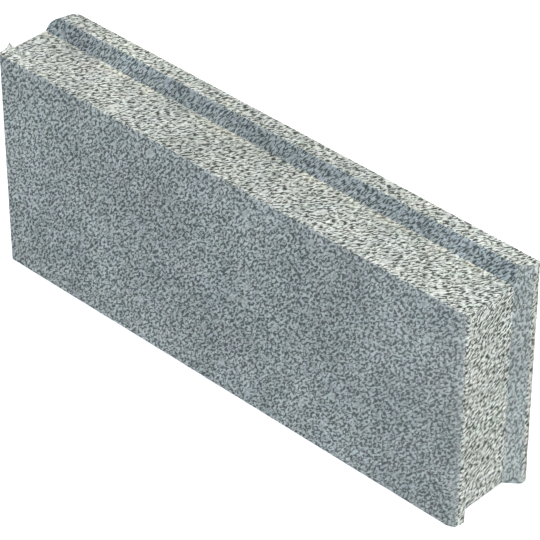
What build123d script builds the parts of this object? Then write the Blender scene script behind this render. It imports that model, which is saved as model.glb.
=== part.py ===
"""Concrete wall block with rebated edges, cast as one piece and lying on its back face.

X runs along the block, Y up the wall it is laid in, Z out through its front face.
"""

import os

from build123d import *

# Body between its flat joint faces, in millimetres
core_length = 600.0
core_height = 225.0
thickness = 80.0

# Tongues at the back, over the upper bed face and past the near end
tongue_base = 19.5
bed_tongue_height = 23.0
bed_tongue_tip = 18.5
end_tongue_reach = 13.5
end_tongue_tip = 8.0

# Slope that ends the bed tongue short of the far end, bulging a little and longer at the back
slope_run = 21.0
slope_run_back = 31.0
slope_bulge = 1.2

# Lips at the front, below the lower bed face and past the far end
bed_lip_height = 22.0
bed_lip_base = 9.5
bed_lip_tip = 8.5
end_lip_reach = 4.0

# Worn lower corner of the bed lip at the near end, bulging a little
lip_corner_run = 16.0
lip_corner_rise = 7.0
lip_corner_bulge = 1.0

# Rounding of the upright corners and of the other arrises
corner_radius = 4.0
arris_radius = 2.0

# Positions that follow, with the origin under the middle of the whole block
overall_length = end_lip_reach + core_length + end_tongue_reach
overall_height = bed_lip_height + core_height + bed_tongue_height
lip_end = -overall_length / 2
far_end = lip_end + end_lip_reach
near_end = far_end + core_length
tongue_end = near_end + end_tongue_reach
lip_edge = -overall_height / 2
lower_bed = lip_edge + bed_lip_height
upper_bed = lower_bed + core_height
tongue_edge = upper_bed + bed_tongue_height
end_lip_tip = tongue_base - end_lip_reach

with BuildPart() as block:
    # Section through the bed joints, carried along the length, with its outer arrises rounded
    with BuildSketch(Plane.YZ):
        with BuildLine():
            Polyline(
                (lower_bed, 0),
                (tongue_edge, 0),
                (tongue_edge, bed_tongue_tip),
                (upper_bed, tongue_base),
                (upper_bed, thickness),
                (lip_edge, thickness),
                (lip_edge, thickness - bed_lip_tip),
                (lower_bed, thickness - bed_lip_base),
                close=True,
            )
        make_face()
        inner = vertices().filter_by_position(Axis.X, lower_bed, upper_bed)
        inner = inner.filter_by_position(Axis.Y, tongue_base, thickness - bed_lip_base)
        fillet(vertices() - inner, arris_radius)
    extrude(amount=overall_length, both=True)

    # Section through the end joints, which trims that length and rounds its upright corners
    with BuildSketch(Plane.XZ):
        with BuildLine():
            Polyline(
                (far_end, 0),
                (tongue_end, 0),
                (tongue_end, end_tongue_tip),
                (near_end, tongue_base),
                (near_end, thickness),
                (lip_end, thickness),
                (lip_end, thickness - end_lip_tip),
                (far_end, thickness - tongue_base),
                close=True,
            )
        make_face()
        front_corners = vertices().group_by(Axis.Y)[-1]
        back_corner = vertices().group_by(Axis.Y)[0].sort_by(Axis.X)[0]
        fillet([*front_corners, back_corner], corner_radius)
        tongue_tips = vertices().group_by(Axis.X)[-1]
        lip_tip = vertices().group_by(Axis.X)[0].sort_by(Axis.Y)[0]
        fillet([*tongue_tips, lip_tip], arris_radius)
    extrude(amount=overall_height, both=True, mode=Mode.INTERSECT)

    # Slope at the far end of the bed tongue
    for level, run in ((0, slope_run_back), (tongue_base, slope_run)):
        with BuildSketch(Plane.XY.offset(level)):
            with BuildLine():
                slope = SagittaArc(
                    (far_end, upper_bed),
                    (far_end + run, tongue_edge),
                    slope_bulge,
                )
                Polyline(slope @ 1, (lip_end, tongue_edge), (lip_end, upper_bed), slope @ 0)
            make_face()
    loft(ruled=True, mode=Mode.SUBTRACT)

    # Worn lower corner of the bed lip
    with BuildSketch(Plane.XY.offset(thickness - bed_lip_base)):
        with BuildLine():
            corner = Polyline(
                (near_end - lip_corner_run, lip_edge),
                (near_end, lip_edge),
                (near_end, lip_edge + lip_corner_rise),
            )
            SagittaArc(corner @ 0, corner @ 1, -lip_corner_bulge)
        make_face()
    extrude(amount=bed_lip_base, mode=Mode.SUBTRACT)

block.part.label = "concrete_block"
os.makedirs("parts", exist_ok=True)
export_step(block.part, "parts/concrete_block.step")
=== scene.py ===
import bpy
import numpy as np
from mathutils import Matrix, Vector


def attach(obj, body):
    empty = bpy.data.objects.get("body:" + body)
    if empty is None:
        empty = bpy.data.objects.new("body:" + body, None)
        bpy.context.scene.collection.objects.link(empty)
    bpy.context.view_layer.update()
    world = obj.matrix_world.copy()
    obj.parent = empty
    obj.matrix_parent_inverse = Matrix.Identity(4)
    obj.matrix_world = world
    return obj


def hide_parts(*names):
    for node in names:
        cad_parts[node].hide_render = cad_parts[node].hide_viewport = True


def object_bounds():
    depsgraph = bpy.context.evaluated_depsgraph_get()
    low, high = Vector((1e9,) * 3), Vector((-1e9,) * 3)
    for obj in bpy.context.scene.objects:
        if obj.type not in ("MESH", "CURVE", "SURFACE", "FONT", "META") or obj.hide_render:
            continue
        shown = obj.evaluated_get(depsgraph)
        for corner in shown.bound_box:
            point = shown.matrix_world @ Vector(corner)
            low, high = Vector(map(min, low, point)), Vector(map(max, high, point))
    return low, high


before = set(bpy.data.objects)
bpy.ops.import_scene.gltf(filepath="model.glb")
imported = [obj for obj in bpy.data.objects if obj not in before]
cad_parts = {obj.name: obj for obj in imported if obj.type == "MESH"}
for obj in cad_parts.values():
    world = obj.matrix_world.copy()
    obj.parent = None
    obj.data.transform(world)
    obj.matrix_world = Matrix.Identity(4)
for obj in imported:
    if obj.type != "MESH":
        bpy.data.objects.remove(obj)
cad_box = [list(corner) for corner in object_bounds()]

# The view: a long lens looking down on the block as it lies on its back.
# The camera is turned about its own axis, so that the edge with the bed tongue
# is uppermost in the picture and the front face stands upright in it.
camera = bpy.data.objects.new("camera", bpy.data.cameras.new("camera"))
camera.data.lens = 201.0
camera.data.sensor_width = 36.0
camera.data.clip_end = 100.0
camera_place = Matrix.Translation((1.60149, 1.68415, 1.67365))
camera_turn = Matrix((
    (0.71852, -0.41420, 0.55872),
    (0.00000, 0.80333, 0.59554),
    (-0.69551, -0.42790, 0.57721),
))
camera.matrix_world = camera_place @ camera_turn.to_4x4()
bpy.context.collection.objects.link(camera)
bpy.context.scene.camera = camera
bpy.context.scene.view_settings.view_transform = "Standard"

# The floor: a plain white sheet under the block, seen as white paper in the
# picture, with a soft shadow of the block left on it.
floor_reach = 12.0
floor_glow = 0.86
floor_mesh = bpy.data.meshes.new("floor")
floor_mesh.from_pydata(
    [(-floor_reach, -floor_reach, 0), (floor_reach, -floor_reach, 0),
     (floor_reach, floor_reach, 0), (-floor_reach, floor_reach, 0)],
    [], [(0, 1, 2, 3)])
floor = bpy.data.objects.new("floor", floor_mesh)
bpy.context.collection.objects.link(floor)
paper = bpy.data.materials.new("white_paper")
paper.use_nodes = True
floor_mesh.materials.append(paper)
nodes, links = paper.node_tree.nodes, paper.node_tree.links
nodes.clear()
paper_out = nodes.new("ShaderNodeOutputMaterial")
paper_diffuse = nodes.new("ShaderNodeBsdfDiffuse")
paper_diffuse.inputs["Color"].default_value = (0.8, 0.8, 0.8, 1)
paper_glow = nodes.new("ShaderNodeEmission")
seen = nodes.new("ShaderNodeLightPath")
seen_glossy = nodes.new("ShaderNodeMath")
seen_glossy.operation = "MAXIMUM"
seen_any = nodes.new("ShaderNodeMath")
seen_any.operation = "MAXIMUM"
seen_share = nodes.new("ShaderNodeMath")
seen_share.operation = "MULTIPLY"
seen_share.inputs[1].default_value = floor_glow
paper_sum = nodes.new("ShaderNodeAddShader")
links.new(seen.outputs["Is Camera Ray"], seen_glossy.inputs[0])
links.new(seen.outputs["Is Glossy Ray"], seen_glossy.inputs[1])
links.new(seen_glossy.outputs[0], seen_any.inputs[0])
links.new(seen.outputs["Is Transmission Ray"], seen_any.inputs[1])
links.new(seen_any.outputs[0], seen_share.inputs[0])
links.new(seen_share.outputs[0], paper_glow.inputs["Strength"])
links.new(paper_diffuse.outputs[0], paper_sum.inputs[0])
links.new(paper_glow.outputs[0], paper_sum.inputs[1])
links.new(paper_sum.outputs[0], paper_out.inputs["Surface"])

# The light: a broad warm lamp low on the side of the tongues, a faint one
# opposite, and a cool even sky. The sky is white where the camera sees it.
def sun(name, towards, strength, spread_deg, colour):
    """A soft distant lamp whose light comes from the direction given."""
    lamp = bpy.data.lights.new(name, "SUN")
    lamp.energy = strength
    lamp.angle = np.radians(spread_deg)
    lamp.color = colour
    holder = bpy.data.objects.new(name, lamp)
    back = np.array(towards, float) / np.linalg.norm(towards)
    side = np.cross((0, 0, 1), back)
    side /= np.linalg.norm(side)
    up = np.cross(back, side)
    holder.matrix_world = Matrix(np.column_stack([side, up, back]).tolist()).to_4x4()
    bpy.context.collection.objects.link(holder)


sun("key_lamp", (0.64, 0.71, 0.29), 3.85, 50, (1.0, 0.978, 0.935))
sun("fill_lamp", (-0.55, -0.6, 0.58), 0.35, 60, (0.9, 0.97, 1.0))
sky = bpy.data.worlds.new("sky")
bpy.context.scene.world = sky
sky.use_nodes = True
nodes, links = sky.node_tree.nodes, sky.node_tree.links
nodes.clear()
sky_out = nodes.new("ShaderNodeOutputWorld")
sky_light = nodes.new("ShaderNodeBackground")
sky_light.inputs["Color"].default_value = (0.80, 0.98, 1.20, 1)
sky_light.inputs["Strength"].default_value = 0.25
sky_white = nodes.new("ShaderNodeBackground")
sky_mix = nodes.new("ShaderNodeMixShader")
seen = nodes.new("ShaderNodeLightPath")
links.new(seen.outputs["Is Camera Ray"], sky_mix.inputs[0])
links.new(sky_light.outputs[0], sky_mix.inputs[1])
links.new(sky_white.outputs[0], sky_mix.inputs[2])
links.new(sky_mix.outputs[0], sky_out.inputs["Surface"])

# The block: one casting of open-textured concrete, pressed in a mould and
# struck off, with light rounded grains bound by cement at their contacts and
# dark pores left between them. Its edges are rebated to lap over its neighbours.

# Sizes are in millimetres: the reach of the tongues and lips past the body comes first,
# then the grid's cell and the narrow cell that it has beside an arris
LOW, HIGH = (np.array(corner) * 1000 for corner in cad_box)
END_TONGUE, BED_TONGUE, END_LIP, BED_LIP = 13.5, 23.0, 3.0, 22.0
NEAR_END, FAR_END = HIGH[0] - END_TONGUE, LOW[0] + END_LIP
UPPER_BED, LOWER_BED = HIGH[1] - BED_TONGUE, LOW[1] + BED_LIP
THICK = HIGH[2]
STEP, RIM = 2.5, 0.5


def rounded_profile(points, radii):
    """Offset and height along a side of the block, from its front face to its back.

    Each corner of the line of points is replaced by a circular arc of its own
    radius, tangent to both runs; the arc's points come from turning the first
    tangent point about the arc's centre by equal angles.
    """
    points = np.array(points, float)
    run = [points[0]]
    for before, corner, after, radius in zip(points[:-2], points[1:-1], points[2:], radii):
        if radius == 0:
            run.append(corner)
            continue
        a = (before - corner) / np.linalg.norm(before - corner)
        b = (after - corner) / np.linalg.norm(after - corner)
        half = np.arccos(np.clip(a @ b, -1, 1)) / 2
        centre = corner + (a + b) / np.linalg.norm(a + b) * radius / np.sin(half)
        start = corner + a * radius / np.tan(half) - centre
        turn = (np.pi - 2 * half) * np.sign(a[1] * b[0] - a[0] * b[1])
        t = turn * np.linspace(0, 1, 13)
        run.extend(centre + np.column_stack([
            start[0] * np.cos(t) - start[1] * np.sin(t),
            start[0] * np.sin(t) + start[1] * np.cos(t)]))
    run.append(points[-1])
    run = np.array(run)
    inside = (run[:, 1] <= THICK + 1e-6) & (run[:, 1] >= -1e-6)
    return run[inside][1:-1]


# Heights of the rebates' corners over the back face, the length of face that leads into
# a profile, and the rounding of the arrises
TONGUE_FOOT, BED_TONGUE_TIP, END_TONGUE_TIP = 19.5, 18.5, 8.0
BED_LIP_TIP, BED_LIP_FOOT, END_LIP_TIP, END_LIP_FOOT = 71.5, 70.5, 64.5, 60.5
LEAD = 40
ARRIS, CRISP, TIP, CORNER = 1.0, 0.3, 2.2, 4.0
near_line = rounded_profile(
    [(NEAR_END - LEAD, THICK), (NEAR_END, THICK), (NEAR_END, TONGUE_FOOT),
     (HIGH[0], END_TONGUE_TIP), (HIGH[0], 0), (HIGH[0] - LEAD, 0)],
    [CORNER, 0, ARRIS, TIP])
far_line = rounded_profile(
    [(LOW[0] + LEAD, THICK), (LOW[0], THICK), (LOW[0], END_LIP_TIP),
     (FAR_END, END_LIP_FOOT), (FAR_END, 0), (FAR_END + LEAD, 0)],
    [CORNER, ARRIS, 0, CORNER])
top_line = rounded_profile(
    [(UPPER_BED - LEAD, THICK), (UPPER_BED, THICK), (UPPER_BED, TONGUE_FOOT),
     (HIGH[1], BED_TONGUE_TIP), (HIGH[1], 0), (HIGH[1] - LEAD, 0)],
    [ARRIS, 0, ARRIS, CRISP])
bottom_line = rounded_profile(
    [(LOW[1] + LEAD, THICK), (LOW[1], THICK), (LOW[1], BED_LIP_TIP),
     (LOWER_BED, BED_LIP_FOOT), (LOWER_BED, 0), (LOWER_BED + LEAD, 0)],
    [ARRIS, ARRIS, 0, CRISP])
side_lines = (near_line, far_line, top_line, bottom_line)


def side_at(line, height):
    """The side's offset at each height, read off its profile."""
    return np.interp(-height, -line[:, 1], line[:, 0])


# Rows down the sides: one at every bend of a profile, and between the bends as many
# as the longest of the four profiles needs. The riser leans, so its arris starts a little
# above its tip
fine = np.linspace(THICK, 0, 16001)
steps = [np.hypot(np.diff(side_at(line, fine)), np.diff(fine)) for line in side_lines]
travel = np.concatenate([[0], np.cumsum(np.max(steps, axis=0))])
arc = ARRIS * np.array([0, 0.1, 0.4, 1])
riser_top = BED_TONGUE_TIP + 0.04
bends = np.concatenate([
    THICK - arc,
    [THICK - ARRIS - RIM, BED_LIP_TIP, BED_LIP_FOOT, END_LIP_TIP, END_LIP_FOOT, TONGUE_FOOT],
    riser_top - arc,
    [riser_top - ARRIS - RIM, END_TONGUE_TIP + 0.3, END_TONGUE_TIP - 0.5],
    [TIP + RIM, TIP, 0.4 * TIP, CRISP, 0.3 * CRISP, 0]])
stops = np.interp(-bends, -fine, travel)
runs = [np.linspace(start, stop, int(np.ceil((stop - start) / STEP)), endpoint=False)
        for start, stop in zip(stops[:-1], stops[1:])]
height = np.interp(np.append(np.concatenate(runs), travel[-1]), travel, fine)
rows = len(height)
near, far, top, bottom = (side_at(line, height)[:, None] for line in side_lines)
height = height[:, None]
across = int(round((NEAR_END - FAR_END) / STEP))
upward = int(round((UPPER_BED - LOW[1]) / STEP))


def spaced(count, length):
    """Shares of a length, evenly spaced but for a narrow cell at either end, so that the
    shading of a worn arris doesn't spread over the flat face beside it."""
    rim = RIM / length
    return np.concatenate([[0], np.linspace(rim, 1 - rim, count - 1), [1]])


along = spaced(across, NEAR_END - FAR_END)
rise = spaced(upward, UPPER_BED - LOW[1])

# Lower side: a straight run, then the worn corner of the lip at the near end, an arc that
# is its chord swollen by a parabola
CORNER_RUN, CORNER_RISE, CORNER_BULGE = 16.0, 7.0, 1.0
gone = np.linspace(0, 1, 41)
chord = np.hypot(CORNER_RUN, CORNER_RISE)
swell = 4 * CORNER_BULGE * gone * (1 - gone)
corner_x = NEAR_END - CORNER_RUN * (1 - gone) + swell * CORNER_RISE / chord
corner_y = LOW[1] + CORNER_RISE * gone - swell * CORNER_RUN / chord
corner_s = np.concatenate([[0], np.cumsum(np.hypot(np.diff(corner_x), np.diff(corner_y)))])
joins, ends = np.interp(bottom, corner_y, corner_s), np.interp(near, corner_x, corner_s)
climb = np.where(bottom < corner_y[-1], np.maximum(ends - joins, 0), 0)
straight = np.where(climb > 0, np.interp(joins, corner_s, corner_x), near) - far
walked = along * (straight + climb)
on_bend = walked > straight
past_bend = joins + walked - straight
low_x = np.where(on_bend, np.interp(past_bend, corner_s, corner_x), far + walked)
low_y = np.where(on_bend, np.interp(past_bend, corner_s, corner_y), bottom + 0 * walked)

# Far side: a straight run up to the bed, then the bulging slope of the tongue's end
SLOPE_FRONT, SLOPE_BACK, SLOPE_BULGE = 20.5, 27.0, 2.8
chord = np.hypot(SLOPE_FRONT, BED_TONGUE)
swell = 4 * SLOPE_BULGE * gone * (1 - gone)
slope_x = gone - swell * BED_TONGUE / chord / SLOPE_FRONT
slope_y = UPPER_BED + BED_TONGUE * gone + swell * SLOPE_FRONT / chord
slope_steps = np.hypot(SLOPE_FRONT * np.diff(slope_x), np.diff(slope_y))
slope_s = np.concatenate([[0], np.cumsum(slope_steps)])
slope_run = np.interp(height, [0, TONGUE_FOOT], [SLOPE_BACK, SLOPE_FRONT])
straight = np.minimum(top, UPPER_BED) - bottom
climb = np.where(top > UPPER_BED, np.interp(top, slope_y, slope_s), 0)
walked = rise * (straight + climb)
foot = (np.arange(rows), np.abs(walked - straight).argmin(axis=1))
walked[foot] = np.where(climb[:, 0] > 0, straight[:, 0], walked[foot])
on_slope = walked > straight
far_x = far + np.where(on_slope, slope_run * np.interp(walked - straight, slope_s, slope_x), 0)
far_y = np.where(on_slope, np.interp(walked - straight, slope_s, slope_y), bottom + walked)

# Near and upper sides run straight between the corners of the other two
near_y = low_y[:, -1:] + rise * (top - low_y[:, -1:])
near_x = near + 0 * near_y
top_x = far_x[:, -1:] + along * (near - far_x[:, -1:])
top_y = top + 0 * top_x
ring_x = np.hstack([low_x[:, :-1], near_x[:, :-1], top_x[:, :0:-1], far_x[:, :0:-1]])
ring_y = np.hstack([low_y[:, :-1], near_y[:, :-1], top_y[:, :0:-1], far_y[:, :0:-1]])
ring = np.dstack([ring_x, ring_y, height + 0 * ring_x])
around = ring.shape[1]


def face_grid(loop):
    """A face of the block filled from its outline: each inner point is the mean of the
    straight lines across and up between opposite sides, less the corners' own share."""
    south = loop[:across + 1]
    east = loop[across:across + upward + 1]
    north = loop[across + upward:2 * across + upward + 1][::-1]
    west = np.vstack([loop[2 * across + upward:], loop[:1]])[::-1]
    u, v = along[None, :, None], rise[:, None, None]
    blend = (1 - v) * south[None] + v * north[None] + (1 - u) * west[:, None] + u * east[:, None]
    corners = ((1 - u) * (1 - v) * south[0] + u * (1 - v) * south[-1]
               + (1 - u) * v * north[0] + u * v * north[-1])
    return blend - corners


front, back = face_grid(ring[0]), face_grid(ring[-1])
inner = (upward - 1) * (across - 1)
points = np.vstack([grid.reshape(-1, 3) for grid in (ring, front[1:-1, 1:-1], back[1:-1, 1:-1])])


def face_numbers(row, first):
    """Vertex numbers of a face's grid, its rim taken from the given row of the sides."""
    numbers = np.zeros((upward + 1, across + 1), int)
    loop = row * around + np.arange(around)
    numbers[0] = loop[:across + 1]
    numbers[:, -1] = loop[across:across + upward + 1]
    numbers[-1] = loop[across + upward:2 * across + upward + 1][::-1]
    numbers[:, 0] = np.append(loop[2 * across + upward:], loop[0])[::-1]
    numbers[1:-1, 1:-1] = first + np.arange(inner).reshape(upward - 1, across - 1)
    return numbers


def quads(numbers):
    """The four corners of every cell of a grid of vertex numbers, anticlockwise."""
    lower, upper = numbers[:-1], numbers[1:]
    return np.dstack([lower[:, :-1], lower[:, 1:], upper[:, 1:], upper[:, :-1]]).reshape(-1, 4)


front_quads = quads(face_numbers(0, rows * around))
back_quads = quads(face_numbers(rows - 1, rows * around + inner))[:, ::-1]
sides = np.arange(rows * around).reshape(rows, around)
side_quads = quads(np.hstack([sides, sides[:, :1]]))[:, ::-1]
cells = np.vstack([front_quads, side_quads, back_quads])


def gather(values, into):
    """Sums a value per cell corner into the vertices."""
    return np.column_stack([np.bincount(into, values[:, k], len(points)) for k in range(3)])


def softened(shape, passes):
    """Every point moved half way to the mean of its neighbours, a few times, which
    wears the arrises round and leaves flat ground where it is."""
    for _ in range(passes):
        total, count = np.zeros_like(shape), np.zeros(len(shape))
        for k in range(4):
            a, b = cells[:, k], cells[:, (k + 1) % 4]
            total += gather(shape[b], a) + gather(shape[a], b)
            count += np.bincount(a, minlength=len(shape)) + np.bincount(b, minlength=len(shape))
        shape = shape + 0.5 * (total / count[:, None] - shape)
    return shape


def normals_of(shape):
    """Unit normal at every point, from the crossed diagonals of the cells round it."""
    a, b, c, d = (shape[cells[:, k]] for k in range(4))
    cross = np.cross(c - a, d - b)
    total = sum(gather(cross, cells[:, k]) for k in range(4))
    return total / np.linalg.norm(total, axis=1, keepdims=True)


normals = normals_of(points)


def lumps(at, pitch, seed):
    """Random heights from 0 to 1 at the corners of cubes one pitch wide, blended inside
    each cube by the smooth step of the place along every axis."""
    lattice = np.random.default_rng(seed).random((3 + np.ceil((HIGH - LOW) / pitch).astype(int)))
    spot = (at - LOW) / pitch + 0.5
    base = np.floor(spot).astype(int)
    part = spot - base
    part = part * part * (3 - 2 * part)
    total = 0.0
    for corner in np.ndindex(2, 2, 2):
        i, j, k = (base + corner).T
        total = total + lattice[i, j, k] * np.prod(np.where(corner, part, 1 - part), axis=1)
    return total


# Grain-deep unevenness everywhere, and more of it where an arris has crumbled. Each kind
# has a depth and a pitch
GRAIN_DEEP, GRAIN_LUMP = 0.3, 5.0
WAVE_DEEP, WAVE_LUMP = 0.1, 13.0
BITE_DEEP, BITE_LUMP, BITE_MOST = 0.6, 6.0, 1.5
worn = softened(points, 6) - points
bite = np.clip(-np.einsum("ij,ij->i", worn, normals), 0, BITE_MOST)
depth = GRAIN_DEEP * lumps(points, GRAIN_LUMP, 1) + WAVE_DEEP * lumps(points, WAVE_LUMP, 2)
depth = depth + bite * BITE_DEEP * lumps(points, BITE_LUMP, 3) ** 2

# The arris at the back of the tongue lay in a corner of the mould, and is crisp
to_back_arris = HIGH[1] - points[:, 1] + points[:, 2]
CRISP_SHARE = 0.1
depth = depth * np.interp(to_back_arris, [1, 6], [CRISP_SHARE, 1])

# The front face rolls off a little before the upright corner at the near end
ROLL_RUN, ROLL_DROP = 15.0, 1.3
roll = np.clip(1 - (NEAR_END - points[:, 0]) / ROLL_RUN, 0, 1) ** 2
roll = roll * (points[:, 2] > THICK - CORNER)
depth = depth + ROLL_DROP * roll * normals[:, 2] ** 2

# The zones of the surface are told apart cell by cell, so that they meet in sharp lines,
# and shaded from one corner of a cell to the next. A cell lies flat where its normal is
# nearly upright, and belongs to an end or bed face where it is close to that face's plane
FLAT, CLOSE, PAST = 0.9, 0.5, 0.3
spans = points[cells]
facing = np.cross(spans[:, 2] - spans[:, 0], spans[:, 3] - spans[:, 1])
facing = np.abs(facing) / np.linalg.norm(facing, axis=1)[:, None]
main_axis = facing.argmax(axis=1)
tilt = facing[:, 2]
mid_x, mid_y, mid_z = spans.mean(axis=1).T
past_end = (mid_x > NEAR_END + PAST) | (mid_x < FAR_END - PAST)
flank = np.interp(tilt, [0.5, 0.65, 0.85, 0.95], [0, 1, 1, 0]) * past_end * (mid_z < BED_LIP_TIP + CLOSE)
riser = (tilt > FLAT) & (mid_y > UPPER_BED) & (mid_z > TONGUE_FOOT / 2)
flat_face = (tilt > FLAT) & ~riser
end_face = np.abs(mid_x - NEAR_END) < CLOSE
bed_face = np.abs(mid_y - UPPER_BED) < CLOSE
zones = (main_axis, tilt, flank, riser, flat_face, end_face, bed_face)
main_axis, tilt, flank, riser, flat_face, end_face, bed_face = (np.repeat(zone, 4) for zone in zones)
rough = spans.reshape(-1, 3)
x, y, z = rough.T

# Faces that lay against a mould plate are closed a little by cement. They, the flanks and the riser are
# tinted cooler and darker as painted shade: most of all the sloping flanks, least beside the near end
# The tints of the plate faces, the flanks and the riser are painted shade, darker and cooler than the
# lamps leave them
PLATE_SHADE_TINT, FLANK_SHADE_TINT = (0.83, 0.875, 0.935), (0.712, 0.735, 0.748)
RISER_SHADE_TINT, PASTE_TINT = (0.905, 0.944, 1.02), (1.11, 1.08, 1.02)
# Shares of the plate and flank zones, which set both the cement closing and the painted shade
PLATE_SKIN_AND_SHADE, FLANK_SKIN_AND_SHADE = 0.75, 0.7


def tinted(share, colour):
    """White turned into a colour by the share given at each corner of a cell."""
    return 1 + share[:, None] * (np.array(colour) - 1)


from_near = NEAR_END - x + 6 * (lumps(rough, 7.0, 4) - 0.5)
# Painted light: the painted shade of the front eases off within 14 mm of the near end, where the front
# rolls round to the upright corner facing the lamp
corner_light_fade = np.interp(from_near, [3, 14], [0.85, 1])
skin_and_shade = np.interp(tilt, [0.6, 0.98], [0, PLATE_SKIN_AND_SHADE]) * np.where(riser, 1, corner_light_fade)
skin_and_shade = np.maximum(skin_and_shade, FLANK_SKIN_AND_SHADE * flank)
tint = tinted(skin_and_shade, PLATE_SHADE_TINT) * tinted(flank, FLANK_SHADE_TINT) * tinted(riser, RISER_SHADE_TINT)

# The upper faces are darker half way along and lighter near the near end. The near end is
# lighter upwards, and so is the front. The tongue's far end is lighter, and its near tip darker
SLOPE_LIGHTER, TIP_DARKER = 1.1, 0.9
lightness = np.interp(x, [-120, -40, 40, 180], [0.985, 0.875, 0.885, 1.06])
lightness = np.where(end_face, np.interp(y, [LOW[1], HIGH[1]], [0.96, 1.06]), lightness)
on_front = np.interp(y, [-30, 20, UPPER_BED], [0.97, 0.985, 1.035])
on_front = on_front * np.interp(x, [-150, 0, NEAR_END - 60], [1.01, 1, 0.98])
lightness = np.where(flat_face, on_front, lightness)
at_slope = (x < FAR_END + 34) & (y > UPPER_BED + 10) & (tilt < 0.5)
at_tip = (main_axis == 0) & (x > NEAR_END + 4)
lightness = np.where(at_slope, SLOPE_LIGHTER, lightness)
lightness = np.where(at_tip, TIP_DARKER, lightness)
tint = tint * lightness[:, None]

# Warm paste drawn along the inner corner between the upper bed and its tongue
paste = np.interp(z, [22, 36], [1, 0]) * np.clip(1.8 * lumps(rough, 17.0, 5) - 0.3, 0, 1)
paste = paste * bed_face
tint = tint * tinted(paste, PASTE_TINT)

# How open the pores are: less on plates, flanks and paste, more on the end face and riser,
# and less on the front towards the near end, most of all in its last 13 mm, where it is painted light
PLATE_CLOSED, FLANK_CLOSED, PASTE_CLOSED = 0.21, 0.15, 0.15
END_OPEN, RISER_OPEN = 1.12, 1.07
open_share = (1 - PLATE_CLOSED * skin_and_shade) * (1 - FLANK_CLOSED * flank) * (1 - PASTE_CLOSED * paste)
open_share = open_share * np.where(end_face, END_OPEN, np.where(riser, RISER_OPEN, 1))
# Painted light: fewer open pores within 13 mm of the near end lighten the front where it rolls round to
# the lit corner
to_near = np.interp(from_near, [4, 13, 40, 200], [0.7, 0.93, 0.93, 1])
open_share = open_share * np.where(flat_face, to_near, 1)

# The grain is laid out flat on each face, in millimetres: first along the way the mix ran
# into the mould there, taken in so that grains and pores lie longer that way, then across it.
# Each line gives the face, its two axes, that way, how far it is taken in, and a scale
laid = np.zeros((len(x), 2))
for here, first, second, way, stretch, scale in (
        (main_axis == 0, y, z, (0.54, -0.84), 2.2, 1.16),
        (main_axis == 1, x, z, (0.55, -0.84), 2.4, 1.18),
        (main_axis == 2, x, y, (0.66, 0.75), 1.95, 0.99),
        (riser, x, y, (0.66, 0.75), 3.8, 1.39),
        (flank > 0, x - z, y, (0.5, 0.87), 1.6, 0.85)):
    with_way = (first * way[0] + second * way[1]) / stretch
    over_way = second * way[0] - first * way[1]
    laid[here] = scale * np.column_stack([with_way, over_way])[here]
on_plate = (main_axis == 2).astype(float)
points = points - normals * depth[:, None]


def mound(middle, width):
    """A bell of height 1 round a point: the exponential of minus half the squared
    distance over the squared width."""
    return np.exp(-np.sum((points - middle) ** 2, axis=1) / (2 * width ** 2))


# A crumb of the mix left standing on the far upper corner, on a broader foot
CRUMB_HEIGHT, CRUMB_WIDTH, CRUMB_SHADE = 5.0, 1.5, 0.5
FOOT_HEIGHT, FOOT_WIDTH = 1.6, 3.0
crumb_place = np.array((LOW[0] + 1.0, UPPER_BED, END_LIP_TIP))
nearest = np.linalg.norm(points - crumb_place, axis=1).argmin()
crumb = mound(points[nearest], CRUMB_WIDTH)
crumb_foot = mound(crumb_place + (0, 0, 4.5), FOOT_WIDTH)
points[:, 1] += CRUMB_HEIGHT * crumb + FOOT_HEIGHT * crumb_foot
tint = tint * (1 - CRUMB_SHADE * crumb[cells].reshape(-1, 1))

# The mesh is shaded smooth, but for arrises sharper than an angle given in degrees, and
# carries the tint, the openness of the pores and the laid-out grain to the material
SHARP_FROM = 40
block_mesh = bpy.data.meshes.new("concrete_block_skin")
block_mesh.from_pydata((points / 1000).tolist(), [], cells.tolist())
block_mesh.polygons.foreach_set("use_smooth", np.ones(len(cells), bool))
block_mesh.set_sharp_from_angle(angle=np.radians(SHARP_FROM))
block_mesh.update()
block_mesh.attributes.new("tint", "FLOAT_COLOR", "CORNER").data.foreach_set(
    "color", np.column_stack([tint, np.ones(len(tint))]).ravel())
block_mesh.attributes.new("open_share", "FLOAT", "CORNER").data.foreach_set("value", open_share)
block_mesh.attributes.new("on_plate", "FLOAT", "CORNER").data.foreach_set("value", on_plate)
block_mesh.uv_layers.new(name="laid").data.foreach_set("uv", laid.ravel())
block = bpy.data.objects.new("concrete_block_skin", block_mesh)
bpy.context.collection.objects.link(block)
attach(block, "root")
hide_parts("concrete_block")


def put(tree, kind, inputs=None, **settings):
    """Adds a node to a tree; each input is a plain value or another node's output."""
    made = tree.nodes.new(kind)
    for name, value in settings.items():
        setattr(made, name, value)
    for key, value in (inputs or {}).items():
        if isinstance(value, bpy.types.NodeSocket):
            tree.links.new(value, made.inputs[key])
        else:
            made.inputs[key].default_value = value
    return made


def calc(tree, operation, a, b=0.0):
    """The output of a math node."""
    return put(tree, "ShaderNodeMath", {0: a, 1: b}, operation=operation).outputs[0]


def ramp(tree, value, low, high, to_low=0.0, to_high=1.0):
    """The output of a smooth step from one value to another."""
    return put(tree, "ShaderNodeMapRange", {
        "Value": value, "From Min": low, "From Max": high, "To Min": to_low, "To Max": to_high,
    }, interpolation_type="SMOOTHSTEP").outputs["Result"]


def noise(tree, vector, pitch, detail):
    """A noise texture whose waves are about one pitch long, in millimetres."""
    return put(tree, "ShaderNodeTexNoise", {"Vector": vector, "Scale": 1 / pitch, "Detail": detail})


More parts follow.
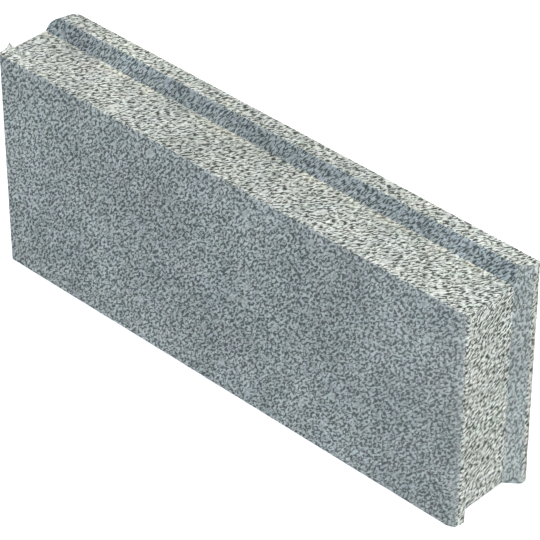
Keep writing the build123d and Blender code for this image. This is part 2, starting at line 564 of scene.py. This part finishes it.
def cells_of(tree, vector, pitch, feature):
    """A cell texture whose cells are about one pitch wide, in millimetres."""
    return put(tree, "ShaderNodeTexVoronoi", {"Vector": vector, "Scale": 1 / pitch}, feature=feature)


def vector_calc(tree, operation, a, b, c=(0.0, 0.0, 0.0)):
    """The vector output of a vector math node."""
    return put(tree, "ShaderNodeVectorMath", {0: a, 1: b, 2: c}, operation=operation).outputs["Vector"]


# The grains and pores of the mix, as one group of nodes. Laid is a place on a face with the
# grain laid out flat, and Place the same place in the block, both in millimetres
grains = bpy.data.node_groups.new("open_grains", "ShaderNodeTree")
for name in ("Laid", "Place"):
    grains.interface.new_socket(name, in_out="INPUT", socket_type="NodeSocketVector")
for name, kind in (("Pore", "Float"), ("Tone", "Float"), ("Height", "Float"), ("Cast", "Color")):
    grains.interface.new_socket(name, in_out="OUTPUT", socket_type="NodeSocket" + kind)
given = put(grains, "NodeGroupInput").outputs
laid_here, place = given["Laid"], given["Place"]

# Pores: the troughs of a noise, short curved threads between the grains, fewer on big stones
POROUS, PORE_DEEP, PORE_EDGE = 2.2, 0.364, 0.594
threads = put(grains, "ShaderNodeTexNoise", {
    "Vector": laid_here, "Scale": 1 / POROUS, "Detail": 1.3, "Distortion": 0.5,
}, noise_dimensions="2D").outputs["Fac"]
pore = ramp(grains, threads, PORE_DEEP, PORE_EDGE, 1.0, 0.0)
STONE_PITCH, STONE_CLOSED = 9.0, 0.4
stones = cells_of(grains, laid_here, STONE_PITCH, "F1")
stone_pick = put(grains, "ShaderNodeSeparateColor", {0: stones.outputs["Color"]}).outputs[1]
stone_face = ramp(grains, stones.outputs["Distance"], 0.3, 0.45, 1.0, 0.0)
big = calc(grains, "MULTIPLY", ramp(grains, stone_pick, 0.92, 0.95), stone_face)
pore = calc(grains, "MULTIPLY", pore, ramp(grains, big, 0.0, 1.0, 1.0, STONE_CLOSED))

# Tone: grain by grain, fine specks, and broad clouds over the whole casting
GRAIN_PITCH, SPECK_PITCH = 2.85, 1.6
grain_colour = cells_of(grains, laid_here, GRAIN_PITCH, "F1").outputs["Color"]
grain_pick = put(grains, "ShaderNodeSeparateColor", {0: grain_colour}).outputs[0]
speck = noise(grains, laid_here, SPECK_PITCH, 3.0).outputs["Fac"]
tone = ramp(grains, grain_pick, 0.0, 1.0, 0.9, 1.07)
tone = calc(grains, "MULTIPLY", tone, ramp(grains, speck, 0.3, 0.7, 0.9, 1.1))
for pitch, swing in ((37.0, 0.06), (108.0, 0.08)):
    cloud = noise(grains, place, pitch, 2.0).outputs["Fac"]
    tone = calc(grains, "MULTIPLY", tone, ramp(grains, cloud, 0.3, 0.7, 1 - swing, 1 + swing))

# Height: pores are sunk and specks stand out. Cast: the hue wanders over near and broad pitches
relief = calc(grains, "SUBTRACT", calc(grains, "MULTIPLY", speck, 0.25), pore)
near_hues = noise(grains, place, 12.0, 3.0).outputs["Color"]
broad_hues = noise(grains, place, 58.0, 1.0).outputs["Color"]
cast = vector_calc(grains, "MULTIPLY_ADD", near_hues, (0.13, 0.06, 0.13), (0.935, 0.97, 0.935))
broad_cast = vector_calc(grains, "MULTIPLY_ADD", broad_hues, (0.06, 0.02, 0.06), (0.97, 0.99, 0.97))
cast = vector_calc(grains, "MULTIPLY", cast, broad_cast)
put(grains, "NodeGroupOutput", {"Pore": pore, "Tone": tone, "Height": relief, "Cast": cast})

# The concrete: pale grains and dark pores, the pores painted a little bluer on the plate faces
# as cool shade, under the tint of each zone, with the pores sunk by a bump whose depth is in metres
concrete = bpy.data.materials.new("open_concrete")
concrete.use_nodes = True
block_mesh.materials.append(concrete)
tree = concrete.node_tree
tree.nodes.clear()
in_metres = put(tree, "ShaderNodeTexCoord").outputs["Object"]
spot = vector_calc(tree, "MULTIPLY", in_metres, (1000.0, 1000.0, 1000.0))
laid_spot = put(tree, "ShaderNodeUVMap", uv_map="laid").outputs["UV"]
plate_here = put(tree, "ShaderNodeAttribute", attribute_name="on_plate").outputs["Fac"]
tint_here = put(tree, "ShaderNodeAttribute", attribute_name="tint").outputs["Color"]
open_here = put(tree, "ShaderNodeAttribute", attribute_name="open_share").outputs["Fac"]


def blend(tree, factor, a, b):
    """A mix of two colours; each is a plain value or another node's output."""
    mixed = put(tree, "ShaderNodeMix", {0: factor}, data_type="RGBA")
    for socket, value in ((mixed.inputs[6], a), (mixed.inputs[7], b)):
        if isinstance(value, bpy.types.NodeSocket):
            tree.links.new(value, socket)
        else:
            socket.default_value = (*value, 1.0)
    return mixed.outputs[2]


grain = put(tree, "ShaderNodeGroup", {"Laid": laid_spot, "Place": spot}, node_tree=grains)
GRAIN = (0.735, 0.763, 0.714)
# The pores on the plate faces are painted a little bluer, as painted shade lit only by the cool sky
SIDE_PORE, SHADED_FACE_PORE = (0.065, 0.077, 0.063), (0.069, 0.085, 0.077)
dark = blend(tree, plate_here, SIDE_PORE, SHADED_FACE_PORE)
body = blend(tree, calc(tree, "MULTIPLY", grain.outputs["Pore"], open_here), GRAIN, dark)
body = vector_calc(tree, "MULTIPLY", body, tint_here)
body = vector_calc(tree, "MULTIPLY", body, grain.outputs["Cast"])
toned = put(tree, "ShaderNodeVectorMath", {
    0: body, "Scale": grain.outputs["Tone"]}, operation="SCALE").outputs["Vector"]
PORE_SINK = 0.0006
bump = put(tree, "ShaderNodeBump", {
    "Strength": 1.0, "Distance": PORE_SINK, "Height": grain.outputs["Height"]})
stone = put(tree, "ShaderNodeBsdfPrincipled", {
    "Base Color": toned, "Roughness": 0.9, "Specular IOR Level": 0.3, "Normal": bump.outputs[0]})
put(tree, "ShaderNodeOutputMaterial", {"Surface": stone.outputs[0]})
